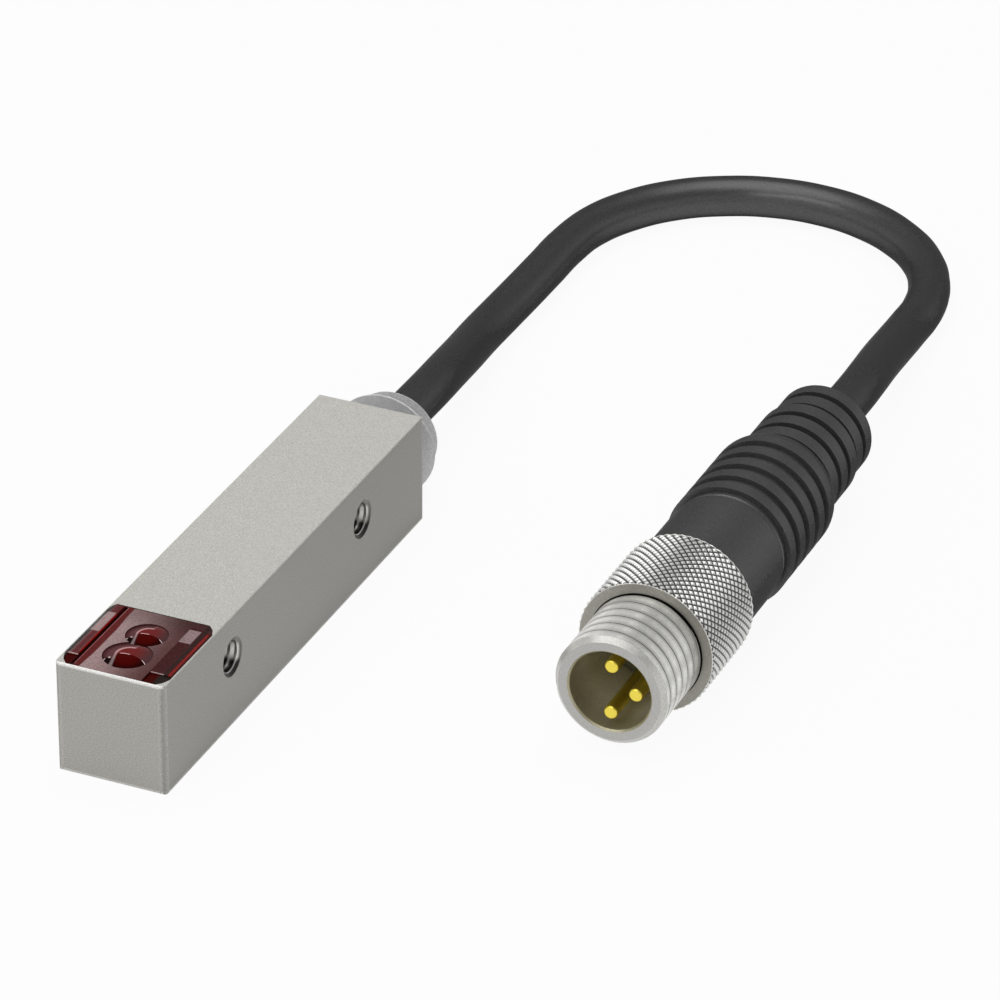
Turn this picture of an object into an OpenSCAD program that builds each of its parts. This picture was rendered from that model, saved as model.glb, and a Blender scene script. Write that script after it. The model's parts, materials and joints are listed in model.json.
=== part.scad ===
// Miniature diffuse light sensor: a small metal block with a red moulded lens window on
// top, a round light-guide cap at the back, and a short cable with a three-pin screw plug.
// All sizes are in millimetres. X is the width, Y runs from the lens end to the cable end,
// Z is up. The origin lies on the floor under the middle of the sensor head.

/* [Housing] */
// Width of the housing, along X
body_w = 8.0; // [7.8:0.1:9]
// Height of the housing, along Z
body_h = 8.2; // [8:0.1:9]
// Length of the housing, along Y
body_l = 40.1; // [38.1:0.5:46.1]
// Thickness of the side walls and the floor
wall_t = 0.6; // [0.4:0.05:0.7]
// Thickness of the roof behind the window
roof_t = 0.6; // [0.4:0.05:0.8]
// Thickness of the front wall below the window
front_wall = 0.8; // [0.6:0.05:1]
// Radius of the upright front corners
corner_r = 0.45; // [0.3:0.05:0.6]
// Radius of the front face's upper and lower edges
front_edge_r = 0.14; // [0.1:0.02:0.2]
// Radius of the long and the rear edges
edge_r = 0.1; // [0.06:0.02:0.2]
// Height of the two rails that carry the circuit board
rail_h = 1.0; // [0.8:0.1:1.2]
// Width of each rail
rail_w = 0.5; // [0.4:0.1:0.8]

/* [Side screw holes] */
// Distance of each hole from the nearer end of the housing
hole_inset = 9.95; // [9.95:0.05:11]
// Height of the holes above the middle of the housing
hole_rise = 1.0; // [0.8:0.1:1.2]
// Core radius of the screw thread
hole_r = 1.25; // [1.1:0.05:1.35]
// Radius of the countersink at each mouth
hole_mouth_r = 1.45; // [1.4:0.05:1.6]
// Outer radius of the tube round each hole inside the housing
hole_tube_r = 1.9; // [1.7:0.05:2]

/* [Lens window] */
// Distance of the window's rear edge from the front face
window_l = 8.3; // [8.1:0.1:8.7]
// Thickness of the metal lip in front of the window
lip_t = 0.16; // [0.14:0.02:0.3]
// Thickness of the metal rims beside the window
rim_t = 0.1; // [0.1:0.02:0.2]
// Width and length by which the front left corner of the window is cut
cut_front_left = [0.7, 1.2];
// Width and length by which the front right corner is cut
cut_front_right = [0.6, 0.9];
// Width and length by which the rear right corner is cut
cut_rear_right = [0.7, 1.1];
// Width and length by which the rear left corner is cut
cut_rear_left = [0.3, 0.7];
// Place of the middle point of each cut, as a share of its size; 0.5 is a plain chamfer
corner_share = 0.4; // [0.3:0.02:0.5]
// Length of the ledge that the window's rear end lies on
window_seat_l = 0.4; // [0.3:0.05:0.5]
// Thickness of the window where it lies on the walls
slab_t = 0.34; // [0.3:0.02:0.4]
// Depth of the window's body below the top face
lens_depth = 1.6; // [1.4:0.1:1.9]
// Radius of the window's long edges
window_edge_r = 0.28; // [0.1:0.02:0.28]
// Width of the frosted middle field
field_w = 4.5; // [4.3:0.1:4.7]
// Distance of the front steps of the side strips from the front face
step_y = 1.5; // [1.3:0.05:1.7]
// Depth of these steps
step_d = 0.12; // [0.05:0.01:0.2]
// Distance of the long groove at the left from the middle plane
groove_x = 2.85; // [2.6:0.05:3]
// Width of the long groove
groove_w = 0.3; // [0.2:0.05:0.4]
// Depth of the long groove
groove_d = 0.2; // [0.1:0.02:0.28]
// Length that the groove leaves free at the window's rear edge
groove_stop = 0.12; // [0.1:0.02:0.4]
// Depth of the two round lens pockets
pocket_d = 0.42; // [0.3:0.02:0.5]
// Distance of the front lens from the front face
lens1_y = 2.7; // [2.6:0.05:2.8]
// Radius of the front lens pocket
pocket1_r = 1.67; // [1.5:0.01:1.7]
// Distance between the two lenses
lens_gap = 2.8; // [2.75:0.05:2.9]
// Radius of the rear lens pocket
pocket2_r = 1.44; // [1.3:0.01:1.5]
// Width of the flat ring round each lens dome
ring_w = 0.2; // [0.16:0.02:0.3]
// Height of the front lens dome above its pocket's floor
dome1_h = 0.38; // [0.2:0.02:0.42]
// Height of the rear lens dome above its pocket's floor
dome2_h = 0.36; // [0.2:0.02:0.42]

/* [Inner works] */
// Thickness of the circuit board
board_t = 0.8; // [0.6:0.1:1]
// Distance of the board's rear end from the housing's rear face
board_end = 4.1; // [4:0.1:5]
// Side length of the sensor chip
chip_w = 3.0; // [2:0.5:4]
// Height of the sensor chip
chip_h = 0.75; // [0.6:0.05:0.8]
// Distance of the sensor chip's middle from the front face
chip_y = 15.6; // [15.1:0.5:17.1]
// Length, width and height of each small chip part
passive = [1.0, 0.5, 0.5];
// Number of small chip parts in each row
passive_n = 4; // [2:1:4]
// Distance from one small chip part to the next in a row
passive_gap = 1.8; // [1.5:0.1:1.9]
// Distance of the two rows of small chip parts from the middle plane
passive_x = 1.2; // [0.9:0.1:1.5]
// Distance of the first small chip parts behind the sensor chip
passive_start = 1.5; // [1.2:0.1:1.5]
// Length, width and height of each status light
status_led = [0.8, 1.6, 0.6];
// Distance of each status light from the board's side edge
light_inset = 0.2; // [0.1:0.05:0.3]
// Distance of the status lights' middle from the board's rear end
light_back = 1.2; // [1:0.1:1.4]
// Distance of the outer wire pads from the board's rear end
pad_back = 2.6; // [2.4:0.1:2.8]
// Distance by which the middle wire pad lies further forward
pad_stagger = 0.4; // [0:0.1:0.6]
// Distance of the outer wire pads from the middle plane
pad_x = 1.5; // [1.3:0.1:1.6]
// Length, width and height of the emitter's package
emitter = [1.4, 0.8, 0.6];
// Length, width and height of the receiver's package
receiver = [1.8, 1.2, 0.7];
// Radius of the front light shaft
shaft1_r = 1.2; // [1.15:0.05:1.3]
// Radius of the rear light shaft
shaft2_r = 1.0; // [0.9:0.05:1.1]

/* [End cap] */
// Length of the round flange behind the housing
flange_l = 2.4; // [2.2:0.1:2.6]
// Radius of the flange
flange_r = 3.92; // [3.8:0.02:3.94]
// Length of flange and boss together
boss_l = 4.1; // [3.8:0.1:4.4]
// Radius of the boss, which the cable leaves
boss_r = 3.33; // [3.25:0.01:3.4]
// Radius of the rear edges of flange and boss
boss_edge_r = 0.2; // [0.1:0.05:0.25]
// Distance of the boss's axis below the middle of the housing
boss_drop = 0.15; // [0.15:0.01:0.16]
// Length of the cap's plug inside the housing
cap_plug_l = 3.8; // [3.4:0.1:4]

/* [Cable] */
// Radius of the cable
cable_r = 1.6; // [1.4:0.05:1.7]
// Height of the cable above the floor where it leaves the head
exit_z = 4.7; // [4.4:0.1:4.8]
// Length of cable that lies inside the cap's plug and reaches into the housing
cable_inside = 3.0; // [2.8:0.1:3.2]
// Radius of each insulated wire in the cable
wire_r = 0.4; // [0.3:0.05:0.45]
// Distance of the wires from the cable's axis
wire_ring_r = 0.75; // [0.7:0.05:0.8]

/* [Screw plug] */
// Place of the plug's front face: X, Y and height of its axis above the floor
plug_at = [28.2, -5.6, 4.9];
// Outer radius of the threaded sleeve
thread_r = 4.0; // [3.8:0.05:4.1]
// Length of the sleeve in front of the ring
thread_l = 6.15; // [5.5:0.05:6.5]
// Chamfer at the sleeve's front edge
thread_chamfer = 0.35; // [0.2:0.05:0.5]
// Width of the undercut between the sleeve and the ring
undercut_w = 0.15; // [0.1:0.05:0.4]
// Depth of the undercut
undercut_d = 0.3; // [0.15:0.05:0.4]
// Outer radius of the grip ring
ring_r = 4.9; // [4.7:0.05:4.9]
// Length of the grip ring
ring_l = 7.2; // [6.5:0.1:8]
// Chamfer at both edges of the ring
ring_chamfer = 0.15; // [0.05:0.05:0.3]
// Radius of the socket inside the sleeve
socket_r = 2.9; // [2.8:0.05:3]
// Depth of the socket, down to the contact carrier
socket_d = 7.0; // [6.8:0.1:7.2]
// Radius of the turned seat inside the ring
seat_r = 3.5; // [3.4:0.05:3.6]
// Distance of the seat's shoulder behind the contact carrier's front face
seat_back = 0.65; // [0.5:0.05:0.8]
// Length of the contact carrier inside the grip
carrier_back = 1.5; // [1.2:0.1:1.8]
// Radius of each contact pin
pin_r = 0.5; // [0.4:0.05:0.55]
// Distance of the cable's end behind the sleeve's front face
cable_end = 22.0; // [21:0.5:24]
// Distance of the pins from the plug's axis
pin_ring_r = 1.75; // [1.7:0.05:1.8]
// Distance of the pin tips behind the sleeve's front face
pin_inset = 0.2; // [0.1:0.05:0.6]
// Radius of the round solder end of each pin
solder_r = 0.65; // [0.6:0.05:0.7]
// Length of the solder end
solder_l = 2.0; // [1.5:0.1:2.5]

/* [Moulded grip] */
// Radius of the smooth sleeve behind the ring
sleeve_r = 4.33; // [4.2:0.01:4.4]
// Radius of the ribs
rib_r = 4.57; // [4.4:0.01:4.7]
// Distance of the first rib from the plug's front face
rib1_at = 20.9; // [19:0.1:21]
// Distance from one rib to the next
rib_gap = 1.8; // [1.7:0.05:1.85]
// Number of ribs
rib_n = 5; // [3:1:5]
// Width of the groove in front of each rib
rib_groove_w = 0.5; // [0.3:0.05:0.6]
// Depth of each groove
rib_groove_d = 0.35; // [0.2:0.05:0.5]
// Length over which each rib rounds off at its rear edge
rib_round = 0.3; // [0.1:0.05:0.5]
// Distance of the first slot of the bend relief from the plug's front face
slot1_at = 30.4; // [30.2:0.1:30.6]
// Distance from one slot to the next
slot_gap = 1.8; // [1.7:0.05:1.85]
// Width of each slot
slot_w = 0.6; // [0.3:0.05:0.8]
// Radius of the core that the slots leave
slot_core_r = 3.05; // [2.6:0.05:3.2]
// Length of the rounded shoulder in front of the first slot
shoulder_l = 1.3; // [1:0.1:1.3]
// Fall of the shoulder's radius from the last rib to the first slot
shoulder_drop = 0.45; // [0.3:0.05:0.6]
// Radius of the first three rings of the bend relief
relief_r = 3.83; // [3.75:0.01:3.9]
// Radius of the last two rings of the bend relief
relief_end_r = 3.6; // [3.4:0.01:3.65]
// Whole length of the plug, from the sleeve's front face to the grip's rear face
plug_l = 39.1; // [39:0.1:41]

/* [Clearances] */
// Gap round the window in its opening
window_gap = 0.03; // [0.02:0.01:0.05]
// Gap between an inner piece and the wall beside it
inner_gap = 0.1; // [0.05:0.01:0.15]
// Gap round the cable and the pins in their holes
fit_gap = 0.02; // [0.01:0.01:0.05]
// Gap round the plug's inner parts in the turning screw
turn_gap = 0.08; // [0.05:0.01:0.1]
// Gap at each end of the turning screw
end_gap = 0.12; // [0.1:0.01:0.2]

/* [Hidden] */
$fn = 64;
// Extra length by which a cutting shape passes the face that it cuts
cut = 1;

// Head: places that follow from the sizes above
head_l = body_l + boss_l;
front_y = -head_l / 2;
inner_x = body_w / 2 - wall_t;
rail_top = wall_t + rail_h;
board_top = rail_top + board_t;
board_rear = body_l - board_end;
lens_bottom = body_h - lens_depth;
slab_bottom = body_h - slab_t;
lens2_y = lens1_y + lens_gap;
body_rear_y = window_l - window_seat_l;
window_x = body_w / 2 - rim_t - window_gap;
window_y0 = lip_t + window_gap;
hole_z = body_h / 2 + hole_rise;
hole_places = [hole_inset, body_l - hole_inset];
light_x = inner_x - inner_gap - light_inset - status_led[0] / 2;
cap_front = body_l - cap_plug_l;
cable_start = body_l - cable_inside;
cap_z = body_h / 2 - boss_drop;

// Plug: places along its axis, counted from the front face
ring_end = thread_l + ring_l;
shoulder_at = socket_d + seat_back;
grip_start = ring_end + end_gap;
carrier_end = grip_start + carrier_back;
pin_end = carrier_end + solder_l;
shoulder_start = slot1_at - slot_w / 2 - shoulder_l;
relief_step = slot1_at + 3 * slot_gap;
pin_angles = [-90, 90, 0];

// Middle line of the cable from the boss's face down to the floor, round the bend and up
// to the grip; each point is X, Y and height above the floor
cable_points = [
    [0, 22.1, 4.7], [0, 25.0, 4.65], [-0.2, 28.5, 4.35], [-0.8, 32.8, 3.6],
    [-1.5, 37.3, 2.7], [-2.1, 41.6, 2.0], [-2.3, 45.7, 1.7], [-2.3, 50.2, 1.65],
    [-2.3, 54.2, 1.65], [-2.3, 58.1, 1.65], [-1.8, 62.1, 1.65], [-0.3, 65.7, 1.65],
    [2.2, 68.9, 1.65], [5.3, 71.1, 1.65], [9.0, 72.5, 1.65], [13.1, 72.8, 1.65],
    [17.0, 71.9, 1.65], [20.5, 69.9, 1.65], [23.2, 67.2, 1.65], [25.2, 63.5, 1.65],
    [26.1, 59.7, 1.7], [26.3, 55.8, 1.9], [26.7, 51.7, 2.6], [27.2, 47.5, 3.45],
    [27.7, 43.9, 4.15], [28.1, 40.2, 4.7], [28.2, 36.7, 4.9], [28.2, 34.0, 4.9]
];
// The whole middle line, with its two ends inside the end cap and inside the grip
cable_route = concat(
    [[0, front_y + cable_start, exit_z]],
    cable_points,
    [[plug_at[0], plug_at[1] + cable_end, plug_at[2]]]
);

// Shapes that several parts share

// Rectangle of size w by l from y = 0 on, with front corners of radius rf and rear
// corners of radius rr
module plan_outline(w, l, rf, rr) {
    translate([-w / 2, rf]) square([w, l - rf - rr]);
    translate([-w / 2 + rf, 0]) square([w - 2 * rf, 2 * rf]);
    translate([-w / 2 + rr, l - 2 * rr]) square([w - 2 * rr, 2 * rr]);
    for (side = [-1, 1]) {
        translate([side * (w / 2 - rf), rf]) circle(rf);
        translate([side * (w / 2 - rr), l - rr]) circle(rr);
    }
}

// Box from y0 to y1 and z0 to z1, centred on x
module slot_box(w, y0, y1, z0, z1) {
    translate([-w / 2, y0, z0]) cube([w, y1 - y0, z1 - z0]);
}

// Cylinder along X, centred on x = 0
module cross_cylinder(r, l, y, z) {
    translate([-l / 2, y, z]) rotate([0, 90, 0]) cylinder(r = r, h = l);
}

// Round lens dome of base radius a and height h on z = 0
module dome(a, h) {
    ball_r = (a * a + h * h) / (2 * h);
    intersection() {
        translate([0, 0, h - ball_r]) sphere(ball_r);
        cylinder(r = a + cut, h = h + cut);
    }
}

// Ring-shaped cut round the local Z axis between two radii, w wide and centred on z = at
module ring_cut(at, w, r_out, r_in) {
    translate([0, 0, at - w / 2]) difference() {
        cylinder(r = r_out + cut, h = w);
        translate([0, 0, -cut]) cylinder(r = r_in, h = w + 2 * cut);
    }
}

// Tube swept along points, each with eight sides round a middle line
function unit(v) = v / norm(v);
function last(p) = len(p) - 1;
function along(p, i) = unit(p[min(i + 1, last(p))] - p[max(i - 1, 0)]);
function across(t) = unit(cross(t, abs(t[2]) > 0.8 ? [0, 1, 0] : [0, 0, 1]));
function ring_points(p, i, r) =
    let (t = along(p, i), a = across(t), b = cross(a, t))
    [for (k = [0:7]) p[i] + r * (cos(45 * k) * a + sin(45 * k) * b)];
function side_faces(n) =
    [for (i = [0:n - 2], k = [0:7])
        [8 * i + k, 8 * i + (k + 1) % 8, 8 * i + 8 + (k + 1) % 8, 8 * i + 8 + k]];
module swept_tube(p, r) {
    points = [for (i = [0:last(p)]) each ring_points(p, i, r)];
    first_face = [[for (k = [7:-1:0]) k]];
    last_face = [[for (k = [0:7]) 8 * last(p) + k]];
    polyhedron(points, concat(first_face, side_faces(len(p)), last_face));
}

// Puts the head's parts, drawn from the front face on, at their place
module in_head() {
    translate([0, front_y, 0]) children();
}

// Puts the plug's parts, drawn along Z from the front face on, at their place
module in_plug() {
    translate(plug_at) rotate([-90, 0, 0]) children();
}

// Three points that cut a corner at [x, y]; sx and sy point from the corner into the plan
function cut_corner(x, y, sx, sy, size) = [
    [x, y + sy * size[1]],
    [x + sx * size[0] * corner_share, y + sy * size[1] * corner_share],
    [x + sx * size[0], y]
];

// The points of a list in the other order
function turned(p) = [for (i = [last(p):-1:0]) p[i]];

// Plan of the window, grown by g on every side
module window_plan(g) {
    x = window_x + g;
    y0 = window_y0 - g;
    y1 = window_l - window_gap + g;
    polygon(concat(
        cut_corner(-x, y0, 1, 1, cut_front_left),
        turned(cut_corner(x, y0, -1, 1, cut_front_right)),
        cut_corner(x, y1, -1, -1, cut_rear_right),
        turned(cut_corner(-x, y1, 1, -1, cut_rear_left))
    ));
}

module housing() {
    in_head() color([0.66, 0.66, 0.63]) difference() {
        union() {
            difference() {
                housing_block();
                slot_box(2 * inner_x, front_wall, body_l + cut, wall_t, body_h - roof_t);
            }
            housing_fittings();
        }
        for (y = hole_places) side_hole(y);
        window_opening();
    }
}

// Outer shape of the housing: rounded seen from above, from the end and from the side
module housing_block() {
    intersection() {
        linear_extrude(body_h) plan_outline(body_w, body_l, corner_r, edge_r);
        translate([0, body_l, 0]) rotate([90, 0, 0])
            linear_extrude(body_l) plan_outline(body_w, body_h, edge_r, edge_r);
        translate([-body_w / 2, 0, body_h / 2]) rotate([0, 90, 0])
            linear_extrude(body_w) plan_outline(body_h, body_l, front_edge_r, edge_r);
    }
}

// Board rails on the floor and a tube round each screw hole
module housing_fittings() {
    for (side = [-1, 1])
        translate([side * (inner_x - rail_w / 2), 0, 0])
            slot_box(rail_w, front_wall - 0.1, board_rear, wall_t - 0.1, rail_top);
    for (y = hole_places) cross_cylinder(hole_tube_r, body_w - wall_t, y, hole_z);
}

// Screw hole through both walls, with a countersink at each mouth
module side_hole(y) {
    sink = hole_mouth_r - hole_r;
    cross_cylinder(hole_r, body_w + 2 * cut, y, hole_z);
    for (side = [-1, 1])
        translate([side * body_w / 2, y, hole_z]) rotate([0, side * -90, 0])
            translate([0, 0, -0.01]) cylinder(r1 = hole_mouth_r, r2 = hole_r, h = sink);
}

// Opening for the window: a shallow seat and a deeper cut for the window's body
module window_opening() {
    translate([0, 0, slab_bottom]) linear_extrude(slab_t + cut) window_plan(window_gap);
    slot_box(2 * inner_x, front_wall, body_rear_y, lens_bottom, slab_bottom + 0.01);
}

module lens_window() {
    in_head() color([0.45, 0.05, 0.06]) {
        difference() {
            window_blank();
            window_steps();
            for (lens = [[lens1_y, pocket1_r], [lens2_y, pocket2_r]])
                translate([0, lens[0], body_h - pocket_d])
                    cylinder(r = lens[1], h = pocket_d + cut);
        }
        for (lens = [[lens1_y, pocket1_r, dome1_h], [lens2_y, pocket2_r, dome2_h]])
            translate([0, lens[0], body_h - pocket_d]) dome(lens[1] - ring_w, lens[2]);
    }
}

// Window before its groove and lenses are cut
module window_blank() {
    r = window_edge_r;
    w = 2 * window_x;
    intersection() {
        translate([0, 0, slab_bottom]) linear_extrude(slab_t) window_plan(0);
        translate([0, body_l, 0]) rotate([90, 0, 0]) linear_extrude(body_l) {
            translate([-w / 2, 0]) square([w, body_h - r]);
            translate([-w / 2 + r, 0]) square([w - 2 * r, body_h]);
            for (side = [-1, 1]) translate([side * (w / 2 - r), body_h - r]) circle(r);
        }
    }
    slot_box(2 * (inner_x - window_gap), front_wall + window_gap, body_rear_y - window_gap,
             lens_bottom, slab_bottom + 0.01);
}

// Steps at the front of both side strips and the long groove at the left
module window_steps() {
    for (x = [[-body_w / 2, -groove_x], [field_w / 2, body_w / 2]])
        translate([(x[0] + x[1]) / 2, 0, 0])
            slot_box(x[1] - x[0], -cut, step_y, body_h - step_d, body_h + cut);
    translate([-groove_x, 0, 0])
        slot_box(groove_w, -cut, window_l - groove_stop, body_h - groove_d, body_h + cut);
}

// Black holder between the board and the window, with one light shaft for each lens
module optics_carrier() {
    in_head() color([0.08, 0.08, 0.09]) difference() {
        slot_box(2 * (inner_x - inner_gap), front_wall + inner_gap, body_rear_y - inner_gap,
                 board_top, lens_bottom);
        light_shaft(lens1_y, shaft1_r, pocket1_r - ring_w);
        light_shaft(lens2_y, shaft2_r, pocket2_r - ring_w);
    }
}

// Light shaft that widens just under its lens
module light_shaft(y, r, top_r) {
    flare_h = top_r - r;
    translate([0, y, board_top - cut]) cylinder(r = r, h = lens_bottom - board_top + 2 * cut);
    translate([0, y, lens_bottom - flare_h]) cylinder(r1 = r, r2 = top_r, h = flare_h + 0.001);
}

// Small block on the board, centred on x and y
module board_block(size, x, y) {
    translate([x - size[0] / 2, y - size[1] / 2, board_top]) cube(size);
}

module emitter_led() {
    in_head() color([0.85, 0.3, 0.25]) board_block(emitter, 0, lens2_y);
}

module receiver_photodiode() {
    in_head() color([0.25, 0.25, 0.3]) board_block(receiver, 0, lens1_y);
}

module main_board() {
    in_head() color([0.05, 0.35, 0.2])
        slot_box(2 * (inner_x - inner_gap), front_wall + inner_gap, board_rear,
                 rail_top, board_top);
}

module sensor_chip() {
    in_head() color([0.12, 0.12, 0.12]) board_block([chip_w, chip_w, chip_h], 0, chip_y);
}

// Two rows of small chip parts behind the sensor chip
module board_passives() {
    first_y = chip_y + chip_w / 2 + passive_start;
    in_head() color([0.7, 0.62, 0.5])
        for (side = [-1, 1], i = [0:passive_n - 1])
            board_block(passive, side * passive_x, first_y + i * passive_gap);
}

module status_light(side, tint) {
    in_head() color(tint) board_block(status_led, side * light_x, board_rear - light_back);
}

module status_led_green() {
    status_light(-1, [0.3, 0.8, 0.35]);
}

module status_led_yellow() {
    status_light(1, [0.95, 0.75, 0.15]);
}

// Cap that closes the housing, leads light out round the cable and holds the cable
module end_cap() {
    w = 2 * (inner_x - inner_gap / 2);
    in_head() color([0.72, 0.72, 0.72]) difference() {
        union() {
            slot_box(w, cap_front, body_l + 0.01, wall_t + inner_gap / 2,
                     body_h - roof_t - inner_gap / 2);
            translate([0, body_l, cap_z]) rotate([-90, 0, 0]) round_boss();
        }
        translate([0, cap_front - cut, exit_z]) rotate([-90, 0, 0])
            cylinder(r = cable_r + fit_gap, h = cap_plug_l + boss_l + 2 * cut);
    }
}

// Flange and boss, each a disc with a rounded rear edge, drawn along Z
module round_boss() {
    rotate_extrude() for (disc = [[flange_r, flange_l], [boss_r, boss_l]]) {
        square([disc[0], disc[1] - boss_edge_r]);
        square([disc[0] - boss_edge_r, disc[1]]);
        translate([disc[0] - boss_edge_r, disc[1] - boss_edge_r]) circle(boss_edge_r);
    }
}

// Wire from the cable's end down to the board; its pad is at x and lies y_pad from the front
module head_wire(angle, x, y_pad) {
    x0 = wire_ring_r * cos(angle);
    z0 = exit_z + wire_ring_r * sin(angle);
    z1 = board_top + wire_r;
    y0 = cable_start;
    in_head() swept_tube([
        [x0, y0, z0], [x0, cap_front, z0], [0.7 * x0 + 0.3 * x, cap_front - 0.7, 0.8 * z0 + 0.2 * z1],
        [0.3 * x0 + 0.7 * x, y_pad + 1.5, 0.3 * z0 + 0.7 * z1], [x, y_pad + 0.7, z1 + 0.05],
        [x, y_pad, z1]
    ], wire_r);
}

module head_wire_brown() {
    color([0.35, 0.2, 0.1]) head_wire(210, -pad_x, board_rear - pad_back);
}

module head_wire_blue() {
    color([0.1, 0.25, 0.6]) head_wire(-30, pad_x, board_rear - pad_back);
}

module head_wire_black() {
    color([0.1, 0.1, 0.1]) head_wire(90, 0, board_rear - pad_back - pad_stagger);
}

module cable() {
    color([0.16, 0.16, 0.16]) swept_tube(cable_route, cable_r);
}

// Turned screw with the outer thread's sleeve in front and the grip ring behind
module coupling_screw() {
    in_plug() color([0.72, 0.72, 0.69]) difference() {
        rotate_extrude() polygon(screw_outline());
        ring_cut(thread_l - undercut_w / 2, undercut_w, thread_r, thread_r - undercut_d);
    }
}

function screw_outline() = [
    [socket_r + 0.1, 0], [thread_r - thread_chamfer, 0], [thread_r, thread_chamfer],
    [thread_r, thread_l], [ring_r - ring_chamfer, thread_l],
    [ring_r, thread_l + ring_chamfer], [ring_r, ring_end - ring_chamfer],
    [ring_r - ring_chamfer, ring_end], [seat_r, ring_end], [seat_r, shoulder_at],
    [socket_r, shoulder_at], [socket_r, 0.1]
];

// Moulded insert that holds the pins; its shoulder keeps the screw from coming off
module contact_carrier() {
    nose_r = socket_r - turn_gap;
    flange_r = seat_r - turn_gap;
    in_plug() color([0.13, 0.13, 0.13]) difference() {
        union() {
            translate([0, 0, socket_d]) cylinder(r = nose_r, h = carrier_end - socket_d);
            translate([0, 0, shoulder_at + end_gap])
                cylinder(r = flange_r, h = carrier_end - shoulder_at - end_gap);
        }
        for (angle = pin_angles)
            rotate(angle) translate([pin_ring_r, 0, 0])
                cylinder(r = pin_r + fit_gap, h = carrier_end + cut);
    }
}

// Contact pin with a rounded tip and a wider solder end behind the insert
module contact_pin(angle) {
    tip_r = pin_r * 0.4;
    in_plug() color([0.85, 0.7, 0.25]) rotate(angle) translate([pin_ring_r, 0, 0])
        rotate_extrude() {
            translate([0, pin_inset + tip_r]) square([pin_r, pin_end - pin_inset - tip_r]);
            translate([0, pin_inset]) square([pin_r - tip_r, tip_r]);
            intersection() {
                translate([pin_r - tip_r, pin_inset + tip_r]) circle(tip_r);
                square([2 * pin_r, pin_end]);
            }
            translate([0, carrier_end]) square([solder_r, solder_l]);
        }
}

module pin_1() {
    contact_pin(pin_angles[0]);
}

module pin_3() {
    contact_pin(pin_angles[1]);
}

module pin_4() {
    contact_pin(pin_angles[2]);
}

// Wire from a pin's solder end back to the end of the cable
module plug_wire(angle) {
    radial = [cos(angle), sin(angle), 0];
    length = cable_end - pin_end;
    steps = [[0, 0], [0.12, 0], [0.3, 0.15], [0.5, 0.5], [0.7, 0.85], [0.88, 1], [1, 1]];
    in_plug() swept_tube([for (step = steps)
        radial * (pin_ring_r + (wire_ring_r - pin_ring_r) * step[1])
            + [0, 0, pin_end + length * step[0]]], wire_r);
}

module plug_wire_brown() {
    color([0.35, 0.2, 0.1]) plug_wire(pin_angles[0]);
}

module plug_wire_blue() {
    color([0.1, 0.25, 0.6]) plug_wire(pin_angles[1]);
}

module plug_wire_black() {
    color([0.1, 0.1, 0.1]) plug_wire(pin_angles[2]);
}

// Moulded grip: smooth sleeve, ribs, rounded shoulder and slotted bend relief
module grip() {
    in_plug() color([0.15, 0.15, 0.15]) difference() {
        rotate_extrude() polygon(grip_outline());
        for (i = [0:4]) ring_cut(slot1_at + i * slot_gap, slot_w, rib_r, slot_core_r);
        translate([0, 0, grip_start - cut])
            cylinder(r = seat_r - turn_gap + fit_gap, h = carrier_end - grip_start + cut);
        translate([0, 0, carrier_end - 0.01])
            cylinder(r = pin_ring_r + solder_r + inner_gap, h = cable_end - carrier_end + 0.01);
        translate([0, 0, grip_start]) cylinder(r = cable_r + fit_gap, h = plug_l);
    }
}

// Groove in front of the rib that starts at the given place, with the rounded rear edge
// of the piece before it
function rib_groove(at, r_before) = [
    [r_before, at - rib_groove_w - rib_round],
    [r_before - 0.3 * rib_groove_d, at - rib_groove_w - 0.3 * rib_round],
    [r_before - 0.7 * rib_groove_d, at - rib_groove_w],
    [rib_r - rib_groove_d, at - 0.7 * rib_groove_w],
    [rib_r - rib_groove_d, at],
    [rib_r, at]
];

// Outline of the grip from its front face to its rear face
function grip_outline() = concat(
    [[0, grip_start], [sleeve_r - 0.1, grip_start], [sleeve_r, grip_start + 0.1]],
    [for (i = [0:rib_n - 1]) each rib_groove(rib1_at + i * rib_gap, i == 0 ? sleeve_r : rib_r)],
    [for (i = [0:6]) let (u = i / 6)
        [rib_r - shoulder_drop * u * u, shoulder_start + shoulder_l * u]],
    [[rib_r - shoulder_drop, slot1_at], [relief_r, slot1_at], [relief_r, relief_step],
     [relief_end_r, relief_step], [relief_end_r, plug_l - 0.1], [relief_end_r - 0.1, plug_l],
     [0, plug_l]]
);

housing();
lens_window();
optics_carrier();
emitter_led();
receiver_photodiode();
main_board();
sensor_chip();
board_passives();
status_led_green();
status_led_yellow();
end_cap();
head_wire_brown();
head_wire_blue();
head_wire_black();
cable();
coupling_screw();
contact_carrier();
pin_1();
pin_3();
pin_4();
plug_wire_brown();
plug_wire_blue();
plug_wire_black();
grip();
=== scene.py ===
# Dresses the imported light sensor: camera, cable, the turned screw with its thread and knurl, the
# threads of the side holes, the two lenses, a procedural finish for every piece, the floor and
# a soft studio light.
# Lengths named here are millimetres, and MM turns them into metres.
import json
import math

import bmesh
import bpy
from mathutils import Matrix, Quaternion, Vector


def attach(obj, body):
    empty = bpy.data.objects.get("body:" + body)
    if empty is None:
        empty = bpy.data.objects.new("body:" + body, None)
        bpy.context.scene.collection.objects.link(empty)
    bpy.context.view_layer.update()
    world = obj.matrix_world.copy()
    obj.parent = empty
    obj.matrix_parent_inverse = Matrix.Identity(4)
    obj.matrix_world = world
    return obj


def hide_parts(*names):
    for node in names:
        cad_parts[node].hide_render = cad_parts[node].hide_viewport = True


MM = 0.001

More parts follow.
